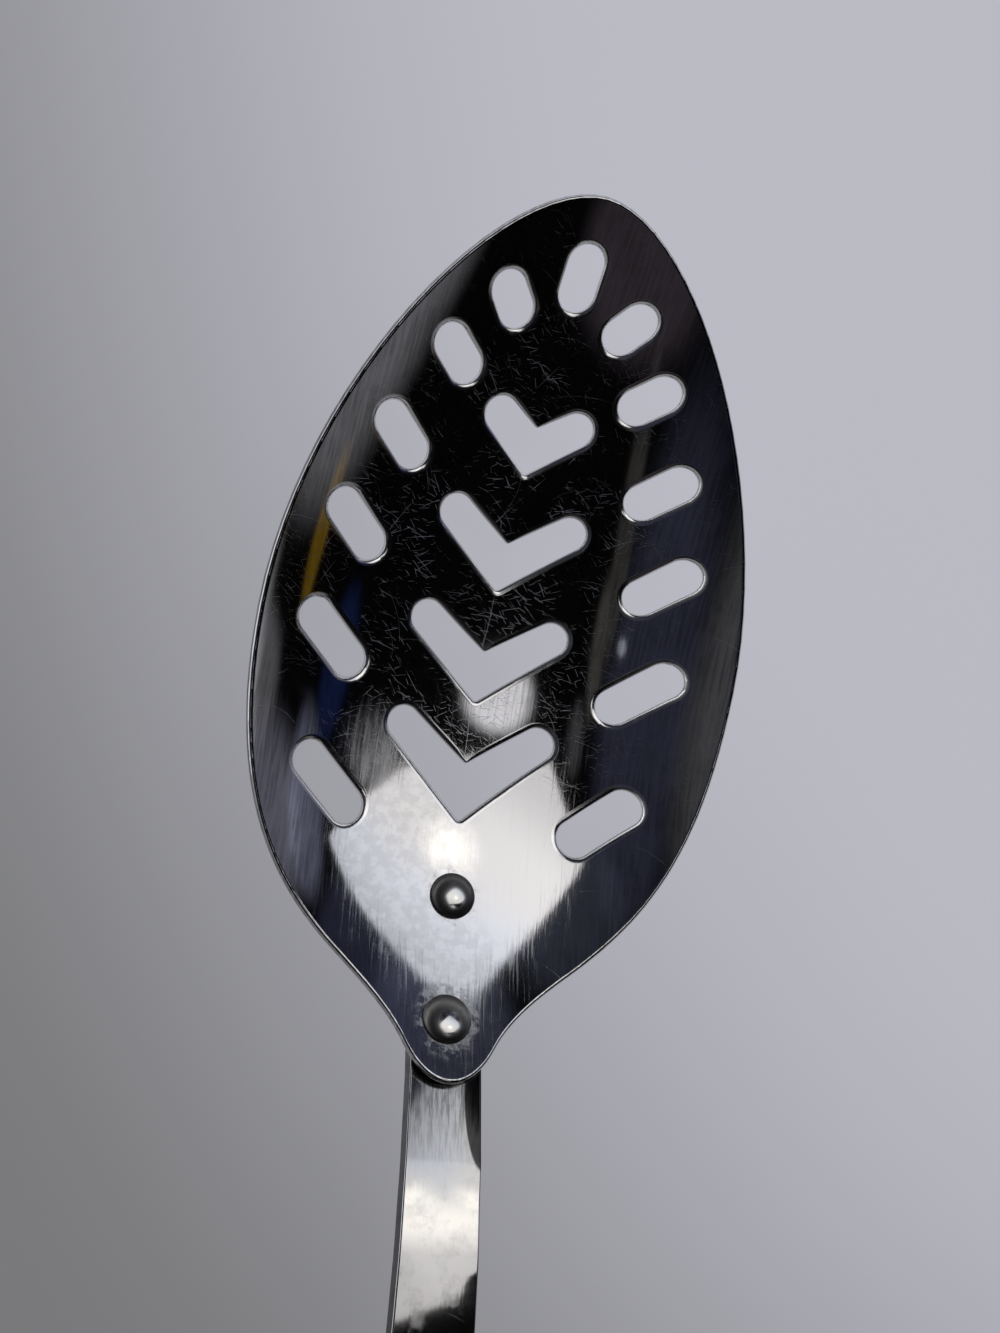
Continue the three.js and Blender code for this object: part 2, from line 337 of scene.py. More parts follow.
def rollHoleEdges(flat, normals, holes, settings):
    # on the upper face the small round edge of a hole becomes a wider, shallower roll
    radius, width, depth = settings["edgeRadius"], settings["rollWidth"], settings["rollDepth"]
    half = spoon["sheet"] / 2
    distance, away = awayFromHoles(flat[:, :2], holes)
    corners = np.array([(0, chevron[1]) for chevron in piercing["chevrons"]])
    fromCorner = np.linalg.norm(flat[:, None, :2] - corners, axis=2).min(axis=1)
    share = np.clip((fromCorner - settings["cornerFree"]) / settings["cornerFade"], 0, 1) * (flat[:, 2] > 0)
    wide = radius + (width - radius) * share
    rolled = np.where(distance < radius, distance * wide / radius,
                      wide + (distance - radius) * (2 * width - wide) / (2 * width - radius))
    moved = np.where(distance < 2 * width, rolled - distance, 0) * (flat[:, 2] > 0)
    onEdge = (distance < radius * 1.01) & (flat[:, 2] > half - radius)
    deep = radius + (depth - radius) * share
    drop = np.where(onEdge, (half - flat[:, 2]) * (deep / radius - 1), 0)
    newFlat = flat + np.column_stack([away * moved[:, None], -drop])
    newNormals = normals.copy()
    newNormals[:, :2] /= np.where(onEdge, wide / radius, 1)[:, None]
    newNormals[:, 2] /= np.where(onEdge, deep / radius, 1)
    return newFlat, newNormals


def formBlank(piece, formPoint, holes=None, settings=None):
    # moves every vertex to its formed place and turns its normal with it
    mesh = piece.data
    flat = np.empty(len(mesh.vertices) * 3)
    mesh.vertices.foreach_get("co", flat)
    flat = flat.reshape(-1, 3)
    normals = blankNormals(mesh)
    if holes:
        flat, normals = rollHoleEdges(flat, normals, holes, settings)
    e = 1e-3
    across, along, up = (toTable(formPoint(flat + step)) - toTable(formPoint(flat - step))
                         for step in np.eye(3) * e)
    formed = (normals[:, :1] * np.cross(along, up) + normals[:, 1:2] * np.cross(up, across)
              + normals[:, 2:] * np.cross(across, along))
    formed /= np.linalg.norm(formed, axis=1, keepdims=True)
    mesh.vertices.foreach_set("co", toTable(formPoint(flat)).ravel())
    mesh.shade_smooth()
    mesh.normals_split_custom_set_from_vertices(formed)
    mesh.update()
    return piece


bowlSettings = {
    "edgeRadius": 0.34,
    "rollWidth": 0.80,
    "rollDepth": 0.42,
    "cornerFree": 0.6,  # this far from a chevron's inner corner the roll starts to widen
    "cornerFade": 2.0,
    "slice": 1.6,
    "edgeSlope": 0.99,  # a face beside a hole whose normal's Z is below this is its rolled edge
}


def makeBowl():
    holes = [slotPoints(upper, lower, side) for upper, lower in piercing["sideSlots"] for side in (-1, 1)]
    holes.append(slotPoints(*piercing["tipSlot"], 1))
    holes += [chevronPoints(*chevron) for chevron in piercing["chevrons"]]
    step = bowlSettings["slice"]
    sliceX = np.arange(-20, 21) * step
    sliceY = np.arange(-38, 33) * step
    radius = bowlSettings["edgeRadius"]
    bowl = cutBlank("pressedBowl", bowlOutline(), holes, spoon["sheet"], radius, sliceX, sliceY)
    centres = np.array([polygon.center[:2] for polygon in bowl.data.polygons])
    besideHole = awayFromHoles(centres, holes)[0] < bowlSettings["rollWidth"]
    for polygon, beside in zip(bowl.data.polygons, besideHole):
        polygon.material_index = int(beside and abs(polygon.normal.z) < bowlSettings["edgeSlope"])
    half = spoon["sheet"] / 2
    return formBlank(bowl, lambda points: pressedPoint(points - [0, 0, half]), holes, bowlSettings)


bowl = makeBowl()
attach(bowl, "root")
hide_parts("bowl")
print("bowl pressed:", len(bowl.data.polygons), "faces")


# Handle: a bar blank, bent along the strip's path
strip = {
    "thickness": 2.5,
    "frontY": -33.6,
    "halfWidth": 4.8,
    "endHalfWidth": 7.5,
    "straightStartY": -50.0,
    "straightEndY": -70.0,
    "bends": ((94.0, 0.22), (70.0, 0.33)),  # radius and turn, before the crest
    "crestRadius": 40.0,
    # crosswise curvature by Y: flat, crowned, flat again, a trough at the tab, then as the bowl
    "crossBends": ((-98.0, 0.0), (-90.0, -0.013), (-83.0, -0.013), (-79.0, 0.0), (-74.5, 0.0),
                   (-69.5, 0.03), (-61.1, 0.05), (-52.0, 0.0143)),
    "fall": math.radians(12),
    "heelRadius": 80.0,
    "restLength": 20.0,
    "gap": 0.3,
    "holeRadius": 3.25,
    "holeFromEnd": 8.0,
    "edgeRadius": 0.3,
    "sliceAcross": 3.0,
    "sliceAlong": 1.5,
    "sideSlope": 0.5,  # a face whose normal's Z is below this is the sheared side
}


def underMiddle(y, depth):
    # the point at a depth under the bowl's inner face, in the middle plane
    e = 0.01
    turn = math.atan((restingHeight(0.0, y + e) - restingHeight(0.0, y - e)) / (2 * e))
    return y + depth * math.sin(turn), restingHeight(0.0, y) - depth * math.cos(turn)


def stripPath():
    # the upper face of the strip in the middle plane, as rows of (length, y, z, heading);
    # the heading is its climb as it runs back, towards -Y
    depth = spoon["sheet"] + strip["gap"]
    step = 0.05
    places = np.arange(strip["frontY"], strip["straightStartY"], -step)
    rows = [np.array(underMiddle(y, depth)) for y in places]
    headings = [math.atan2(b[1] - a[1], a[0] - b[0]) for a, b in zip(rows, rows[1:])]
    path = [[0.0, *rows[0], headings[0]]]
    for i in range(1, len(rows) - 1):
        length = path[-1][0] + np.linalg.norm(rows[i] - rows[i - 1])
        path.append([length, *rows[i], (headings[i] + headings[i - 1]) / 2])

    def run(length, bend):
        # bend is the change of heading along the run
        count = max(2, int(length / step))
        startLength, _, _, startHeading = path[-1]
        for i in range(1, count + 1):
            _, y, z, before = path[-1]
            heading = startHeading + bend * i / count
            middle = (before + heading) / 2
            path.append([startLength + length * i / count, y - length / count * math.cos(middle),
                         z + length / count * math.sin(middle), heading])

    run((path[-1][1] - strip["straightEndY"]) / math.cos(path[-1][3]), 0)
    for radius, turn in strip["bends"]:
        run(radius * turn, -turn)
    turn = path[-1][3] + strip["fall"]
    run(strip["crestRadius"] * turn, -turn)
    slide = strip["fall"] + spoon["tilt"]
    heelDrop = strip["heelRadius"] * (1 - math.cos(slide))
    level = path[-1][1] * sinTilt + path[-1][2] * cosTilt
    drop = level - tableLevel - strip["thickness"]
    run((drop - heelDrop) / math.sin(slide), 0)
    run(strip["heelRadius"] * slide, slide)
    run(strip["restLength"], 0)
    return np.array(path)


path = stripPath()


def smooth(t):
    t = np.clip(t, 0, 1)
    return t * t * (3 - 2 * t)


def crossBendAt(y):
    places, values = (np.array(column) for column in zip(*strip["crossBends"]))
    i = np.clip(np.searchsorted(places, y) - 1, 0, len(places) - 2)
    share = smooth((y - places[i]) / (places[i + 1] - places[i]))
    return values[i] + (values[i + 1] - values[i]) * share


def stripPoint(points):
    # a blank's point (x, -length along the strip, height above its upper face)
    length, height = -points[:, 1], points[:, 2]
    y, z, heading = (np.interp(length, path[:, 0], path[:, i]) for i in (1, 2, 3))
    height = height + crossBendAt(y) / 2 * points[:, 0] ** 2
    return np.stack([points[:, 0], y + height * np.sin(heading), z + height * np.cos(heading)], axis=-1)


def lengthAt(y):
    return float(np.interp(-y, -path[:, 1], path[:, 0]))


def makeHandle():
    total, half, wide = path[-1, 0], strip["halfWidth"], strip["endHalfWidth"]
    quarter, steps = math.pi / 2, 24
    outline = arcPoints((0, -half), half, 0, 2 * quarter, steps)
    outline.append((-half, -lengthAt(spoon["tabEndY"])))
    outline += arcPoints((0, -total + wide), wide, 2 * quarter, 4 * quarter, steps)
    outline.append((half, -lengthAt(spoon["tabEndY"])))
    hole = arcPoints((0, -total + strip["holeFromEnd"]), strip["holeRadius"], 0, 4 * quarter, 2 * steps)[:-1]
    sliceX = np.arange(-2, 3) * strip["sliceAcross"]
    sliceY = -np.arange(1, total, strip["sliceAlong"])
    handle = cutBlank("bentHandle", outline, [hole], strip["thickness"], strip["edgeRadius"], sliceX, sliceY)
    for polygon in handle.data.polygons:
        polygon.material_index = int(abs(polygon.normal.z) < strip["sideSlope"])
    return formBlank(handle, lambda points: stripPoint(points - [0, 0, strip["thickness"] / 2]))


handle = makeHandle()
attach(handle, "root")
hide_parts("handle_strip")
print("handle bent:", len(handle.data.polygons), "faces")


# Rivets: a half section spun round, then set square to the sheet
rivet = {
    "places": {"rivet_upper": (-0.1, -40.6, 3.1), "rivet_lower": (-0.4, -54.7, 3.28)},  # x, y, head radius
    "headHeight": 1.55,
    "fullness": 0.4,  # 0.5 is an ellipsoid, less is flatter on top
    "shankRadius": 1.9,
    "seat": 0.02,
    "steps": 18,
    "sides": 48,
}


def rivetSection(r, y):
    h, seat, power = rivet["headHeight"], rivet["seat"], 2 * rivet["fullness"]
    angles = [math.pi / 2 * i / rivet["steps"] for i in range(rivet["steps"] + 1)]
    upper = [(r * math.sin(a), seat + h * max(math.cos(a), 0) ** power) for a in angles]
    depth = spoon["sheet"] + float(liftAt(y)) + strip["gap"] + strip["thickness"]
    lower = [(x, -depth - z) for x, z in reversed(upper)]
    return upper + [(rivet["shankRadius"], seat), (rivet["shankRadius"], -depth - seat)] + lower


def makeRivet(name, x, y, headRadius):
    section = rivetSection(headRadius, y)
    mesh = bpy.data.meshes.new(name)
    mesh.from_pydata([(a, 0, z) for a, z in section], [(i, i + 1) for i in range(len(section) - 1)], [])
    piece = bpy.data.objects.new(name + "_domed", mesh)
    scene.collection.objects.link(piece)
    selectOnly(piece)
    bpy.ops.object.mode_set(mode="EDIT")
    bpy.ops.mesh.select_all(action="SELECT")
    bpy.ops.mesh.spin(steps=rivet["sides"], angle=2 * math.pi, center=(0, 0, 0), axis=(0, 0, 1))
    bpy.ops.mesh.select_all(action="SELECT")
    bpy.ops.mesh.remove_doubles(threshold=1e-4)
    bpy.ops.mesh.normals_make_consistent(inside=False)
    bpy.ops.object.mode_set(mode="OBJECT")
    bpy.ops.object.shade_smooth_by_angle(angle=math.radians(40))
    up = Vector(innerNormal(np.array([0.0]), np.array([y]))[0])
    across = Vector((1, 0, 0))
    turn = np.array((across, up.cross(across), up))
    flat = np.array([v.co for v in mesh.vertices])
    placed = flat @ turn + [x, y, float(innerHeight(np.array([0.0]), np.array([y]))[0])]
    mesh.vertices.foreach_set("co", toTable(placed).ravel())
    mesh.update()
    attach(piece, "root")
    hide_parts(name)
    return piece


rivets = [makeRivet(name, *place) for name, place in rivet["places"].items()]
print("rivets set")


# Materials, all from Object coordinates, which are metres in the shared frame
def addNode(tree, kind, inputs=None, **settings):
    # a node with its settings, and inputs that are either values or other nodes' outputs
    node = tree.nodes.new("ShaderNode" + kind)
    for name, value in settings.items():
        setattr(node, name, value)
    for key, value in (inputs or {}).items():
        if isinstance(value, bpy.types.NodeSocket):
            tree.links.new(value, node.inputs[key])
        else:
            node.inputs[key].default_value = value
    return node


def maths(tree, operation, a, b=None, clamp=False):
    inputs = {0: a} if b is None else {0: a, 1: b}
    return addNode(tree, "Math", inputs, operation=operation, use_clamp=clamp).outputs[0]


def times(tree, product, *others):
    for other in others:
        product = maths(tree, "MULTIPLY", product, other)
    return product


def vectorMaths(tree, operation, a, b=None):
    second = "Scale" if operation == "SCALE" else 1
    inputs = {0: a} if b is None else {0: a, second: b}
    output = "Value" if operation in ("DISTANCE", "DOT_PRODUCT", "LENGTH") else 0
    return addNode(tree, "VectorMath", inputs, operation=operation).outputs[output]


def mixed(tree, share, a, b):
    return addNode(tree, "Mix", {0: share, 4: a, 5: b}, data_type="VECTOR").outputs[1]


def ranged(tree, value, fromMin, fromMax, toMin, toMax, soft=True):
    inputs = {"Value": value, "From Min": fromMin, "From Max": fromMax, "To Min": toMin, "To Max": toMax}
    kind = "SMOOTHSTEP" if soft else "LINEAR"
    return addNode(tree, "MapRange", inputs, interpolation_type=kind).outputs["Result"]


def newGroup(name, inputs, output):
    tree = bpy.data.node_groups.new(name, "ShaderNodeTree")
    for label, kind, value in inputs:
        socket = tree.interface.new_socket(label, in_out="INPUT", socket_type="NodeSocket" + kind)
        if value is not None:
            socket.default_value = value
    tree.interface.new_socket(output, in_out="OUTPUT", socket_type="NodeSocketFloat")
    return tree, tree.nodes.new("NodeGroupInput").outputs, tree.nodes.new("NodeGroupOutput").inputs[0]


def placeGroup(tree, group, **inputs):
    return addNode(tree, "Group", inputs, node_tree=group).outputs[0]


def hairScratches():
    # one thin, slightly bent line in many of the cells, each turned its own way;
    # Spread is the whole range of their angles, around a direction a little off crosswise
    tree, given, result = newGroup("hairScratches", [
        ("Vector", "Vector", None), ("Scale", "Float", 200.0), ("Width", "Float", 0.02),
        ("Length", "Float", 0.5), ("Bend", "Float", 0.5), ("Share", "Float", 0.7),
        ("Spread", "Float", 3.0)], "Mask")
    scaled = vectorMaths(tree, "SCALE", given["Vector"], given["Scale"])
    cells = addNode(tree, "TexVoronoi", {"Vector": scaled, "Scale": 1.0, "Randomness": 1.0},
                    voronoi_dimensions="2D")
    apart = vectorMaths(tree, "SUBTRACT", scaled, cells.outputs["Position"])
    chance = addNode(tree, "SeparateXYZ", {0: cells.outputs["Color"]}).outputs
    spread = times(tree, maths(tree, "SUBTRACT", chance[0], 0.5), given["Spread"])
    angle = maths(tree, "ADD", spread, math.pi / 2 + 0.2)
    turned = addNode(tree, "VectorRotate", {"Vector": apart, "Angle": angle}, rotation_type="Z_AXIS")
    local = addNode(tree, "SeparateXYZ", {0: turned.outputs[0]}).outputs
    bow = times(tree, local[1], local[1], given["Bend"], maths(tree, "SUBTRACT", chance[1], 0.5))
    across = maths(tree, "ABSOLUTE", maths(tree, "ADD", local[0], bow))
    line = ranged(tree, across, 0.0, given["Width"], 1.0, 0.0)
    reach = times(tree, given["Length"], maths(tree, "ADD", chance[2], 0.3))
    halfReach = times(tree, reach, 0.5)
    ends = ranged(tree, maths(tree, "ABSOLUTE", local[1]), halfReach, reach, 1.0, 0.0)
    there = maths(tree, "LESS_THAN", chance[1], given["Share"])
    depth = ranged(tree, chance[2], 0.0, 1.0, 0.35, 1.0, False)
    tree.links.new(times(tree, line, ends, there, depth), result)
    return tree


def brushedGrain():
    # fine lines along the spoon
    tree, given, result = newGroup("brushedGrain", [
        ("Vector", "Vector", None), ("Across", "Float", 3000.0), ("Along", "Float", 60.0)], "Height")
    size = addNode(tree, "CombineXYZ", {"X": given["Across"], "Y": given["Along"], "Z": given["Along"]})
    stretched = vectorMaths(tree, "MULTIPLY", given["Vector"], size.outputs[0])
    grain = addNode(tree, "TexNoise", {"Vector": stretched, "Scale": 1.0, "Detail": 3.0, "Roughness": 0.6})
    tree.links.new(grain.outputs["Fac"], result)
    return tree


def wornPatches():
    # soft uneven patches; the larger Share is, the more of the surface they cover
    tree, given, result = newGroup("wornPatches", [
        ("Vector", "Vector", None), ("Scale", "Float", 150.0), ("Share", "Float", 0.4)], "Mask")
    noise = addNode(tree, "TexNoise", {"Vector": given["Vector"], "Scale": given["Scale"],
                                       "Detail": 5.0, "Roughness": 0.65})
    start = maths(tree, "SUBTRACT", 0.75, times(tree, given["Share"], 0.4))
    mask = ranged(tree, noise.outputs["Fac"], start, maths(tree, "ADD", start, 0.2), 0.0, 1.0)
    tree.links.new(mask, result)
    return tree


scratchGroup, grainGroup, wornGroup = hairScratches(), brushedGrain(), wornPatches()


def newMaterial(name, metal=None):
    # metal is the metal's colour
    material = bpy.data.materials.new(name)
    material.use_nodes = True
    tree = material.node_tree
    shader = tree.nodes["Principled BSDF"]
    if metal:
        shader.inputs["Base Color"].default_value = (*metal, 1)
        shader.inputs["Metallic"].default_value = 1
    place = addNode(tree, "TexCoord").outputs["Object"]
    return material, tree, shader, place


def scratchLayers(tree, place, layers):
    # the strongest of several sets of scratches, each shifted so that they don't repeat
    total = None
    for i, (scale, width, length, bend, share, spread) in enumerate(layers):
        shift = vectorMaths(tree, "ADD", place, (0.013 * i, 0.029 * i, 0))
        mask = placeGroup(tree, scratchGroup, Vector=shift, Scale=scale, Width=width, Length=length,
                          Bend=bend, Share=share, Spread=spread)
        total = mask if total is None else maths(tree, "MAXIMUM", total, mask)
    return total


def setBump(tree, shader, height, distance):
    bump = addNode(tree, "Bump", {"Height": height, "Strength": 1.0, "Distance": distance})
    tree.links.new(bump.outputs["Normal"], shader.inputs["Normal"])


def spotMask(tree, place, centre, radii, fade):
    # 1 inside an ellipse in plan, fading to 0 between two shares of its radii
    apart = vectorMaths(tree, "SUBTRACT", place, spotOf(*centre))
    scaled = vectorMaths(tree, "MULTIPLY", apart, (1 / (radii[0] * mm), 1 / (radii[1] * mm), 0))
    return ranged(tree, vectorMaths(tree, "LENGTH", scaled), *fade, 1.0, 0.0)


# A patch is its centre and radii, in the spoon's own millimetres, and two shares of the radii
# between which it fades out
bowlLook = {
    "color": (0.66, 0.66, 0.68),
    "polish": (0.06, 0.11),
    "scratchLayers": [  # scale, width, length, bend, share, spread
        (110, 0.0035, 1.0, 0.25, 0.35, 3.1),
        (260, 0.008, 1.0, 0.3, 0.5, 2.6),
        (430, 0.013, 1.1, 0.3, 0.65, 1.7),
        (700, 0.020, 1.1, 0.25, 0.65, 1.5),
        (1100, 0.030, 1.1, 0.2, 0.65, 1.9),
    ],
    "scratched": ((-3, 4), (25, 40), (0.3, 1.3)),
    "scratchedLeast": 0.2,
    "clusters": (0.12, 1.15),
    "scratchEndY": (-32, -20),
    "scratchEndLeast": 0.12,
    "longScratches": [(90, 0.0026, 0.5, 1.6, 0.35, 3.1), (170, 0.0045, 0.6, 1.2, 0.3, 2.4)],
    "longDepth": 0.4,
    "brightMiddle": ((-1, -34), (18, 20), (0.8, 1.15)),
    "scratchRoughness": 0.66,
    "scratchPaintedGlint": (0.84, 0.88, 1.0),
    "scratchEdge": 1.5,  # how quickly a scratch turns rough across its width
    "brushedY": (-2, -22),
    "streakGrain": (0.52, 0.68),
    "streakRoughness": 0.08,
    "ringFade": (1.05, 1.5),  # in shares of the rivet head's radius
    "ringRoughness": 0.22,
    "dull": ((-14, -22.5), (4.5, 5.5), (0.4, 1.4)),
    "dullGrain": (0.3, 0.7, 0.1, 0.3),
    "lobe": ((-8, -38), (11, 14), (0.6, 1.3)),
    "foot": ((0, -48), (7, 6), (0.6, 1.3)),
    "lobeStain": 0.13,
    "wallGrain": (0.35, 0.65, 0.25, 1.0),
    "wallClouds": (0.5, 1.0),
    "wallStreak": 0.45,
    "grain": 0.28,
    "scratchDepth": 0.2,
    "bumpDistance": 1e-5,
}


def bowlMaterial():
    look = bowlLook
    material, tree, shader, place = newMaterial("polishedSteel", look["color"])
    scratches = scratchLayers(tree, place, look["scratchLayers"])
    # most of them in the middle of the bowl, in clusters, and few near the tab
    dense = spotMask(tree, place, *look["scratched"])
    clusters = placeGroup(tree, wornGroup, Vector=place, Scale=170.0, Share=0.85)
    along = addNode(tree, "SeparateXYZ", {0: place}).outputs["Y"]
    few, many = (spotOf(0, y).y for y in look["scratchEndY"])
    amount = times(tree, ranged(tree, dense, 0.0, 1.0, look["scratchedLeast"], 1.0, False),
                   ranged(tree, clusters, 0.0, 1.0, *look["clusters"], False),
                   ranged(tree, along, few, many, look["scratchEndLeast"], 1.0))
    scratches = times(tree, scratches, amount)
    # longer ones on the walls, away from the bright middle of the tab end
    walls = maths(tree, "SUBTRACT", 1.0, spotMask(tree, place, *look["brightMiddle"]))
    longer = times(tree, scratchLayers(tree, place, look["longScratches"]),
                   times(tree, walls, look["longDepth"]))
    scratches = maths(tree, "MAXIMUM", scratches, longer)
    worn = placeGroup(tree, wornGroup, Vector=place, Scale=240.0, Share=0.5)
    rough = ranged(tree, worn, 0.0, 1.0, *look["polish"], False)
    torn = maths(tree, "MULTIPLY", scratches, look["scratchEdge"], clamp=True)
    rough = maths(tree, "ADD", rough, times(tree, torn, look["scratchRoughness"]))
    # the lower half is brushed: thin duller lines along the spoon
    grain = placeGroup(tree, grainGroup, Vector=place, Across=3200.0, Along=150.0)
    none, full = (spotOf(0, y).y for y in look["brushedY"])
    brushed = ranged(tree, along, none, full, 0.0, 1.0)
    streaks = times(tree, ranged(tree, grain, *look["streakGrain"], 0.0, 1.0), brushed)
    rough = maths(tree, "ADD", rough, times(tree, streaks, look["streakRoughness"]))
    # the sheet is dulled around each rivet
    smudges = placeGroup(tree, wornGroup, Vector=place, Scale=900.0, Share=0.8)
    for x, y, radius in rivet["places"].values():
        ring = spotMask(tree, place, (x, y), (radius, radius), look["ringFade"])
        rough = maths(tree, "ADD", rough, times(tree, ring, smudges, look["ringRoughness"]))
    # a dull patch beside the last slot
    dull = times(tree, spotMask(tree, place, *look["dull"]),
                 ranged(tree, grain, *look["dullGrain"], False))
    tree.links.new(maths(tree, "ADD", rough, dull), shader.inputs["Roughness"])
    # the left of the tab, and its middle, are faintly stained
    lobe, foot = (spotMask(tree, place, *look[name]) for name in ("lobe", "foot"))
    stains = placeGroup(tree, wornGroup, Vector=place, Scale=620.0, Share=0.9)
    stained = times(tree, maths(tree, "MAXIMUM", lobe, foot), stains)
    shade = ranged(tree, stained, 0.0, 1.0, 1.0, 1.0 - look["lobeStain"], False)
    # duller lines and clouds on the walls
    clouds = placeGroup(tree, wornGroup, Vector=place, Scale=130.0, Share=0.9)
    uneven = times(tree, ranged(tree, grain, *look["wallGrain"]),
                   ranged(tree, clouds, 0.0, 1.0, *look["wallClouds"], False), walls, look["wallStreak"])
    shade = times(tree, shade, maths(tree, "SUBTRACT", 1.0, uneven))
    # the scratches are real marks; their paler, bluish colour is a painted glint
    color = mixed(tree, torn, vectorMaths(tree, "SCALE", look["color"], shade), look["scratchPaintedGlint"])
    tree.links.new(color, shader.inputs["Base Color"])
    lines = times(tree, grain, brushed, look["grain"])
    height = maths(tree, "SUBTRACT", lines, times(tree, scratches, look["scratchDepth"]))
    setBump(tree, shader, height, look["bumpDistance"])
    return material


handleLook = {
    "color": (0.545, 0.545, 0.552),
    "polish": (0.07, 0.19),
    "scratchLayers": [(260, 0.01, 0.7, 0.5, 0.3, 3.1), (420, 0.02, 0.7, 0.5, 0.3, 3.1)],
    "scratchRoughness": 0.15,
    # each reach is where it starts and is full, in millimetres behind the tab's end
    "wearReach": (12, 2),
    "haze": 0.07,
    "cloud": 0.56,
    "cloudStreaks": (0.36, 0.6, 1.0, 0.35),
    "stepReach": (9.3, 8.8),
    "step": 0.10,
    "satinReach": (28, 45),
    "satinRoughness": 0.36,
    # painted light: from the crest on, the satin's colour is lightened by a fifth to three quarters, along
    # its brushed grain
    "satinLinesAndPaintedLight": (0.35, 0.65, 0.2, 0.75),
    "mottle": 0.2,
    # painted reflection: the dark corner beside the tab, its centre, radii and fade
    "corner": ((5.2, -62), (2.6, 8.8), (0.96, 1.03)),
    "cornerPaintedShade": 0.12,
    "grainDistance": 5e-6,
}


def handleMaterial():
    look = handleLook
    material, tree, shader, place = newMaterial("brushedSteel", look["color"])
    along = addNode(tree, "SeparateXYZ", {0: place}).outputs["Y"]

    def growing(reach, most=1.0):
        first, last = (spotOf(0, spoon["tabEndY"]).y - distance * mm for distance in look[reach])
        return ranged(tree, along, first, last, 0.0, most)

    worn = placeGroup(tree, wornGroup, Vector=place, Scale=260.0, Share=0.6)
    rough = ranged(tree, worn, 0.0, 1.0, *look["polish"], False)
    scratches = scratchLayers(tree, place, look["scratchLayers"])
    # cloudy, streaked wear where the strip comes out from under the tab; satin from the crest on
    near, beyond = growing("wearReach"), growing("satinReach")
    for mask, added in ((scratches, "scratchRoughness"), (near, "haze"), (beyond, "satinRoughness")):
        rough = maths(tree, "ADD", rough, times(tree, mask, look[added]))
    tree.links.new(rough, shader.inputs["Roughness"])
    streaks = placeGroup(tree, grainGroup, Vector=place, Across=2800.0, Along=300.0)
    blotches = placeGroup(tree, wornGroup, Vector=place, Scale=420.0, Share=0.7)
    cloud = times(tree, near, ranged(tree, streaks, *look["cloudStreaks"]), look["cloud"])
    faint = times(tree, blotches, streaks, look["mottle"])
    shade = maths(tree, "SUBTRACT", maths(tree, "SUBTRACT", 1.0, growing("stepReach", look["step"])),
                  maths(tree, "MAXIMUM", cloud, faint))
    # the corner beside the tab is painted dark, a painted reflection; and paler lines in the satin
    corner = spotMask(tree, place, *look["corner"])
    shade = times(tree, shade, ranged(tree, corner, 0.0, 1.0, 1.0, look["cornerPaintedShade"], False))
    grain = placeGroup(tree, grainGroup, Vector=place, Across=2200.0, Along=50.0)
    # the satin is lightened all over, painted light standing in for the room it reflects; the grain gives its
    # paler brushed lines
    paintedSatinLight = times(tree, beyond, ranged(tree, grain, *look["satinLinesAndPaintedLight"]))
    shade = maths(tree, "ADD", shade, paintedSatinLight)
    tree.links.new(vectorMaths(tree, "SCALE", look["color"], shade), shader.inputs["Base Color"])
    setBump(tree, shader, grain, look["grainDistance"])
    return material


# Rolled and cut edges, plainer than the faces; their colours carry a painted highlight on the rolled edges
# and painted shade on the cut sides
edgeLooks = {
    # painted highlight: the rolled edges' paler colour; their roughness is their own
    "rolledSteelPaintedHighlight": {"color": (0.78, 0.78, 0.79), "polish": (0.16, 0.26)},
    # painted shade: the sheared sides' dark colour; their greater roughness is their own
    "shearedSteelPaintedShade": {"color": (0.17, 0.17, 0.18), "polish": (0.35, 0.55)},
}


def edgeMaterial(name):
    look = edgeLooks[name]
    material, tree, shader, place = newMaterial(name, look["color"])
    worn = placeGroup(tree, wornGroup, Vector=place, Scale=300.0, Share=0.6)
    tree.links.new(ranged(tree, worn, 0.0, 1.0, *look["polish"], False), shader.inputs["Roughness"])
    return material


rivetLook = {
    "color": (0.64, 0.64, 0.64),
    "polish": (0.10, 0.22),
    "crown": (0.30, 0.54),  # polished up to here, in shares of the head's radius
    "flankRoughness": 0.24,
    # painted shade on the flanks, as a share of the colour
    "flankPaintedShade": 0.28,
}


def rivetMaterial():
    look = rivetLook
    material, tree, shader, place = newMaterial("rivetSteel", look["color"])
    worn = placeGroup(tree, wornGroup, Vector=place, Scale=900.0, Share=0.6)
    flank = 1.0
    for x, y, radius in rivet["places"].values():
        crown = spotMask(tree, place, (x, y), (radius, radius), look["crown"])
        flank = maths(tree, "SUBTRACT", flank, crown)
    rough = ranged(tree, worn, 0.0, 1.0, *look["polish"], False)
    rough = maths(tree, "ADD", rough, times(tree, flank, look["flankRoughness"]))
    tree.links.new(rough, shader.inputs["Roughness"])
    # painted shade: the flanks' colour is darkened, dimming what they reflect
    shade = ranged(tree, flank, 0.0, 1.0, 1.0, look["flankPaintedShade"], False)
    tree.links.new(vectorMaths(tree, "SCALE", look["color"], shade), shader.inputs["Base Color"])
    return material


bowl.data.materials.append(bowlMaterial())
bowl.data.materials.append(edgeMaterial("rolledSteelPaintedHighlight"))
handle.data.materials.append(handleMaterial())
handle.data.materials.append(edgeMaterial("shearedSteelPaintedShade"))
rivetSteel = rivetMaterial()
for piece in rivets:
    piece.data.materials.append(rivetSteel)
print("materials made")


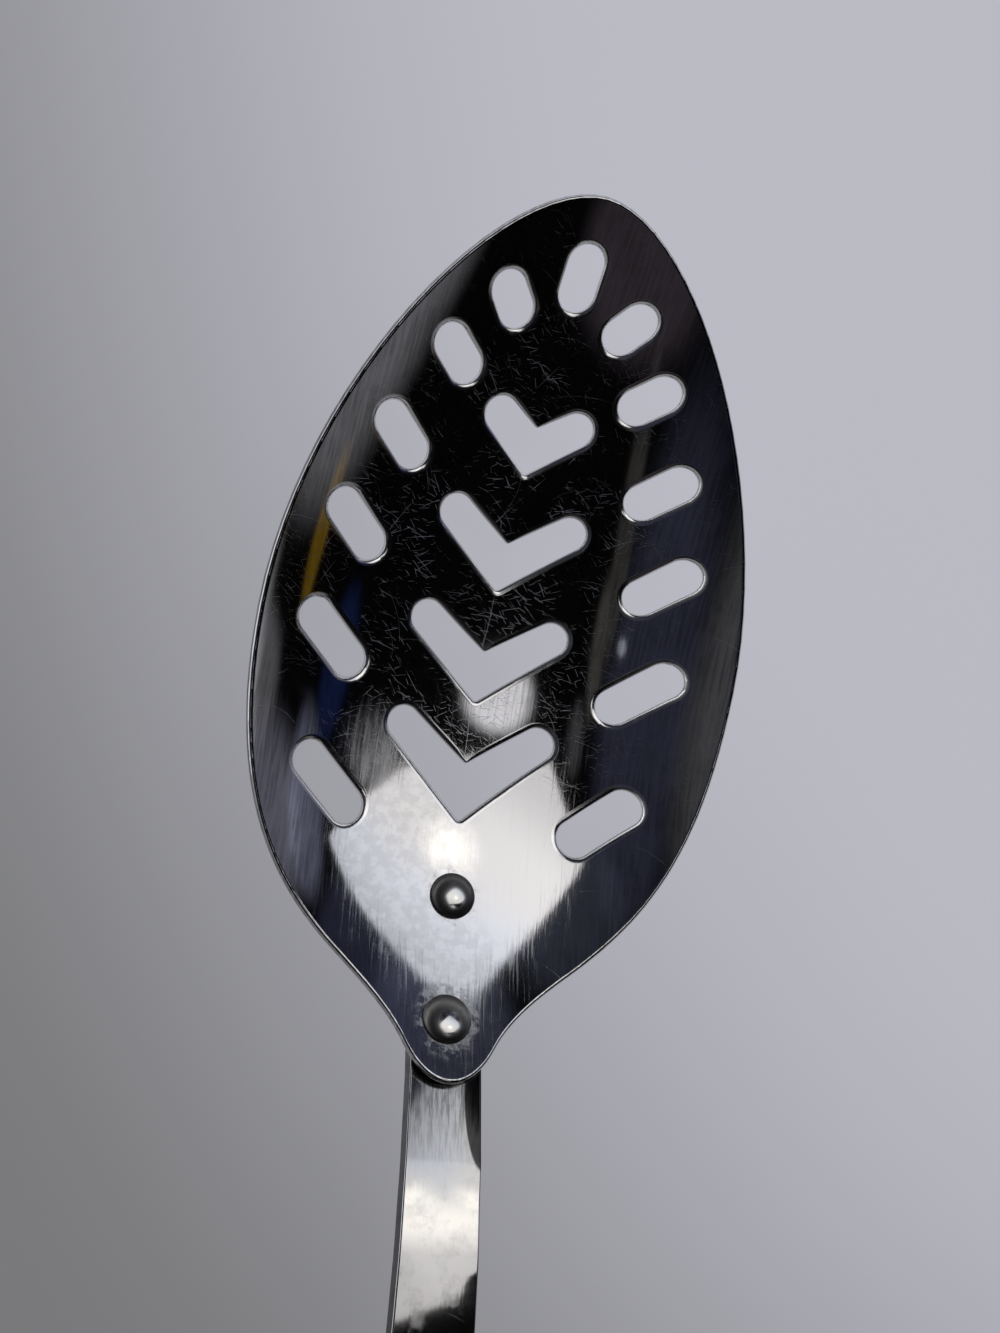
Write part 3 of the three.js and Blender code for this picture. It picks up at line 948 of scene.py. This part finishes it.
# Floor, world and lamps
backdrop = (0.50, 0.505, 0.54)
floorLook = {  # places are in metres of the shared frame
    "size": 60,
    "roughness": 0.9,
    "specular": 0.1,
    # painted shade: the floor is darker towards one corner, a slope less a bulge around a middle
    "slope": (1.25, 1.0, 0),
    "bulgeMiddle": (0.03, 0.10, 0),
    "bulge": (2.0, 1.6, 0),
    "paintedShadeRange": (-0.11, 0.17),
    # the painted shade's darkest and palest floor colours
    "dull": (0.215, 0.215, 0.222, 1),
    "pale": (0.545, 0.548, 0.61, 1),
    # and it becomes the backdrop's colour further out
    "middle": (0, 0.08, 0),
    "reach": (0.125, 0.34),
    "glow": 1.08,
    "glowShare": 0.79,
}


def makeFloor():
    look = floorLook
    bpy.ops.object.select_all(action="DESELECT")
    bpy.ops.mesh.primitive_plane_add(size=look["size"])
    floor = bpy.context.object
    floor.name = "paleFloor"
    material, tree, shader, place = newMaterial("paleFloor")
    shader.inputs["Roughness"].default_value = look["roughness"]
    shader.inputs["Specular IOR Level"].default_value = look["specular"]
    # painted shade across the floor, from the slope less the bulge
    slope = vectorMaths(tree, "DOT_PRODUCT", place, look["slope"])
    apart = vectorMaths(tree, "SUBTRACT", place, look["bulgeMiddle"])
    scaled = vectorMaths(tree, "MULTIPLY", apart, look["bulge"])
    shade = maths(tree, "SUBTRACT", slope, vectorMaths(tree, "DOT_PRODUCT", scaled, scaled))
    paintedShadeRamp = addNode(tree, "ValToRGB", {0: ranged(tree, shade, *look["paintedShadeRange"], 0.0, 1.0)})
    ends = paintedShadeRamp.color_ramp.elements
    ends[0].color, ends[1].color = look["dull"], look["pale"]
    distance = vectorMaths(tree, "DISTANCE", place, look["middle"])
    color = mixed(tree, ranged(tree, distance, *look["reach"], 0.0, 1.0), paintedShadeRamp.outputs[0], backdrop)
    tree.links.new(color, shader.inputs["Base Color"])
    glow = addNode(tree, "Emission", {"Color": color, "Strength": look["glow"]}).outputs[0]
    # it glows for the camera and in mirrors, and only reflects light for the other rays
    rays = addNode(tree, "LightPath").outputs
    seen = maths(tree, "MAXIMUM", rays["Is Camera Ray"], rays["Is Glossy Ray"])
    seen = maths(tree, "MAXIMUM", seen, rays["Is Transmission Ray"])
    share = times(tree, seen, look["glowShare"])
    mix = addNode(tree, "MixShader", {"Fac": share, 1: shader.outputs[0], 2: glow})
    tree.links.new(mix.outputs[0], tree.nodes["Material Output"].inputs["Surface"])
    floor.data.materials.append(material)


# Soft patches of the room that the steel reflects: direction in the spoon's frame, half sizes, colour
roomPatches = [
    # low on the right
    ((0.92, -0.38, 0.12), (0.35, 0.22, 0.30), (0.16, 0.16, 0.17)),
    ((0.95, 0.34, 0.10), (0.30, 0.22, 0.30), (0.135, 0.135, 0.17)),
    ((1.00, 0.06, 0.07), (0.20, 0.09, 0.13), (0.10, 0.10, 0.105)),
    # overhead
    ((-0.45, 0.10, 0.87), (0.22, 0.55, 0.50), (0.026, 0.028, 0.045)),
    ((-0.21, -0.28, 0.94), (0.035, 0.22, 0.30), (0.038, 0.036, 0.032)),
    ((-0.165, -0.04, 0.98), (0.03, 0.15, 0.30), (0.060, 0.057, 0.050)),
    ((-0.11, 0.17, 0.98), (0.03, 0.10, 0.30), (0.055, 0.055, 0.058)),
    ((-0.28, -0.085, 0.96), (0.022, 0.018, 0.30), (0.30, 0.31, 0.34)),
    ((0.215, 0.10, 0.97), (0.11, 0.09, 0.30), (0.97, 0.95, 0.96)),
    # low on the left, and above the handle
    ((-0.95, -0.05, 0.35), (0.36, 0.75, 0.55), (0.07, 0.07, 0.075)),
    ((0.00, -0.57, 0.82), (0.35, 0.10, 0.30), (0.035, 0.028, 0.034)),
    # beyond the tip
    ((-0.10, 0.62, 0.78), (0.30, 0.20, 0.40), (0.030, 0.034, 0.048)),
    ((0.55, 0.68, 0.50), (0.25, 0.16, 0.20), (0.020, 0.022, 0.040)),
    ((0.32, 0.80, 0.50), (0.18, 0.12, 0.15), (0.035, 0.038, 0.060)),
    # high on the right, and bright and low on the left
    ((0.58, 0.26, 0.77), (0.06, 0.07, 0.20), (0.04, 0.042, 0.050)),
    ((-0.80, 0.42, 0.22), (0.35, 0.50, 0.10), (0.60, 0.60, 0.64)),
    # on the right: grey, ochre and blue
    ((0.84, 0.34, 0.43), (0.16, 0.21, 0.10), (0.12, 0.125, 0.175)),
    ((0.95, -0.13, 0.31), (0.30, 0.09, 0.035), (0.13, 0.075, 0.004)),
    ((0.81, 0.06, 0.57), (0.050, 0.14, 0.30), (0.005, 0.010, 0.042)),
]

# The rest of the room: each pair is where it starts and is full, along X, Y or Z of a direction
studio = {
    "patchFade": (0.75, 1.3),
    "horizon": (-0.02, 0.10, 0.42, 0.0018),  # two heights, and the levels there
    "leftWall": (0.0, -0.25),
    "backWall": (-0.55, -0.75),
    "wallTop": 0.52,
    "wallEdge": (-0.16, 0.02),  # full and gone, above the wall's top
    "wallLevel": 0.25,
    "beyondWall": (0.35, 0.6),
    "beyondTop": 0.22,
    "beyondEdge": 0.08,
    "beyondLevel": 1.1,
    "haze": 0.92,  # the backdrop's level above the floor
}


def makeWorld():
    world = bpy.data.worlds.new("studio")
    world.use_nodes = True
    scene.world = world
    tree = world.node_tree
    place = addNode(tree, "TexCoord").outputs["Generated"]
    turn = {"Vector": place, "Angle": -spoon["tilt"]}
    direction = addNode(tree, "VectorRotate", turn, rotation_type="X_AXIS").outputs[0]
    total = None
    for centre, sizes, color in roomPatches:
        apart = vectorMaths(tree, "SUBTRACT", direction, centre)
        scaled = vectorMaths(tree, "MULTIPLY", apart, [1 / size for size in sizes])
        mask = ranged(tree, vectorMaths(tree, "LENGTH", scaled), *studio["patchFade"], 1.0, 0.0)
        patch = vectorMaths(tree, "SCALE", color, mask)
        total = patch if total is None else vectorMaths(tree, "ADD", total, patch)
    # pale at the horizon; behind and to the left, and beyond the tip, pale walls stand higher
    axes = addNode(tree, "SeparateXYZ", {0: place}).outputs
    horizon = ranged(tree, axes["Z"], *studio["horizon"])
    left = ranged(tree, axes["X"], *studio["leftWall"], 0.0, 1.0)
    behind = ranged(tree, axes["Y"], *studio["backWall"], 0.0, 1.0)
    above = maths(tree, "SUBTRACT", axes["Z"],
                  times(tree, maths(tree, "MAXIMUM", left, behind), studio["wallTop"]))
    walls = ranged(tree, above, *studio["wallEdge"], studio["wallLevel"], 0.0)
    top = studio["beyondTop"]
    beyond = times(tree, ranged(tree, axes["Y"], *studio["beyondWall"], 0.0, studio["beyondLevel"]),
                   ranged(tree, axes["Z"], top, top + studio["beyondEdge"], 1.0, 0.0))
    horizon = maths(tree, "MAXIMUM", maths(tree, "MAXIMUM", horizon, walls), beyond)
    total = vectorMaths(tree, "ADD", total, horizon)
    # the camera sees the backdrop in place of the room
    seen = addNode(tree, "LightPath").outputs["Is Camera Ray"]
    sky = [studio["haze"] * c for c in backdrop]
    tree.links.new(mixed(tree, seen, total, sky), tree.nodes["Background"].inputs["Color"])


# Lamps and the softbox, each given by its direction from the target in the spoon's own frame
target = (0.0, -38.0, -6.0)
lamps = {
    "leftSide": {"direction": (-0.98, 0.05, 0.12), "half": (0.5, 0.1), "turn": 0,
                 "distance": 0.9, "level": 0.9},
}
softbox = {
    "direction": (0.28, 0.49, 0.82),
    "distance": 0.9,
    "corners": [(-0.46, -0.335), (-0.27, 0.04), (0.09, 0.41), (0.45, 0.20), (0.165, -0.415)],  # tangents
    "tints": ((0.94, 0.97, 1.03), (1.02, 0.99, 0.965)),  # from its lower part to its upper
    "tintReach": (-0.24, -0.04),
    "levels": (1.0, 1.2),  # at its right and left end, as seen from the spoon
    "levelReach": 0.4,
    "lowFade": (-0.42, -0.15, 0.75),  # tangents, and the level below them
    "highFade": (0.05, 0.3, 0.75),  # tangents, and the level above them
    "hotSpot": (-0.015, -0.042),
    "hotLevel": 0.7,
    "hotTint": (1.04, 0.99, 0.88),
    "hotReach": (0.012, 0.10),
}


def facing(direction):
    # unit vectors towards a direction, and to its side and up, in the shared frame
    tip = Matrix.Rotation(spoon["tilt"], 3, "X")
    away = tip @ Vector(direction).normalized()
    side = tip @ Vector((0, 0, 1)).cross(Vector(direction)).normalized()
    return away, side, away.cross(side)


def softLamp(name, direction, half, turn, distance, level):
    lamp = bpy.data.lights.new(name, "AREA")
    lamp.shape = "RECTANGLE"
    lamp.size, lamp.size_y = (2 * distance * h for h in half)
    lamp.energy = level * math.pi * lamp.size * lamp.size_y
    holder = bpy.data.objects.new(name + "Lamp", lamp)
    scene.collection.objects.link(holder)
    away, side, up = facing(direction)
    turned = side * math.cos(math.radians(turn)) + up * math.sin(math.radians(turn))
    spot = tablePoint(*target) + away * distance
    axes = Matrix((turned, away.cross(turned), away)).transposed().to_4x4()
    holder.matrix_world = Matrix.Translation(spot) @ axes


def makeSoftbox():
    away, side, up = facing(softbox["direction"])
    start, distance = tablePoint(*target), softbox["distance"]
    corners = [start + (away + side * u + up * v) * distance for u, v in softbox["corners"]]
    mesh = bpy.data.meshes.new("softbox")
    mesh.from_pydata(corners, [], [tuple(range(len(corners)))])
    box = bpy.data.objects.new("softbox", mesh)
    scene.collection.objects.link(box)
    material, tree, _, place = newMaterial("softbox")
    u, v = softbox["hotSpot"]
    hot = start + (away + side * u + up * v) * distance
    reach = vectorMaths(tree, "DISTANCE", place, hot)
    glow = ranged(tree, reach, *softbox["hotReach"], softbox["hotLevel"], 0.0)
    middle = start + away * distance
    half = softbox["levelReach"] * distance
    level = ranged(tree, vectorMaths(tree, "DOT_PRODUCT", place, side),
                   middle @ side - half, middle @ side + half, *softbox["levels"])
    rise, base = vectorMaths(tree, "DOT_PRODUCT", place, up), middle @ up
    for first, last, low in (softbox["lowFade"], softbox["highFade"]):
        ends = (low, 1.0) if first < 0 else (1.0, low)
        level = times(tree, level, ranged(tree, rise, base + first * distance, base + last * distance, *ends))
    strength = maths(tree, "ADD", level, glow)
    reach = [base + v * distance for v in softbox["tintReach"]]
    tint = mixed(tree, ranged(tree, rise, *reach, 0.0, 1.0), *softbox["tints"])
    tint = mixed(tree, glow, tint, softbox["hotTint"])
    emission = addNode(tree, "Emission", {"Color": tint, "Strength": strength})
    tree.links.new(emission.outputs[0], tree.nodes["Material Output"].inputs["Surface"])
    mesh.materials.append(material)


makeFloor()
makeWorld()
makeSoftbox()
for name, settings in lamps.items():
    softLamp(name, **settings)
print("floor, world and lamps set")
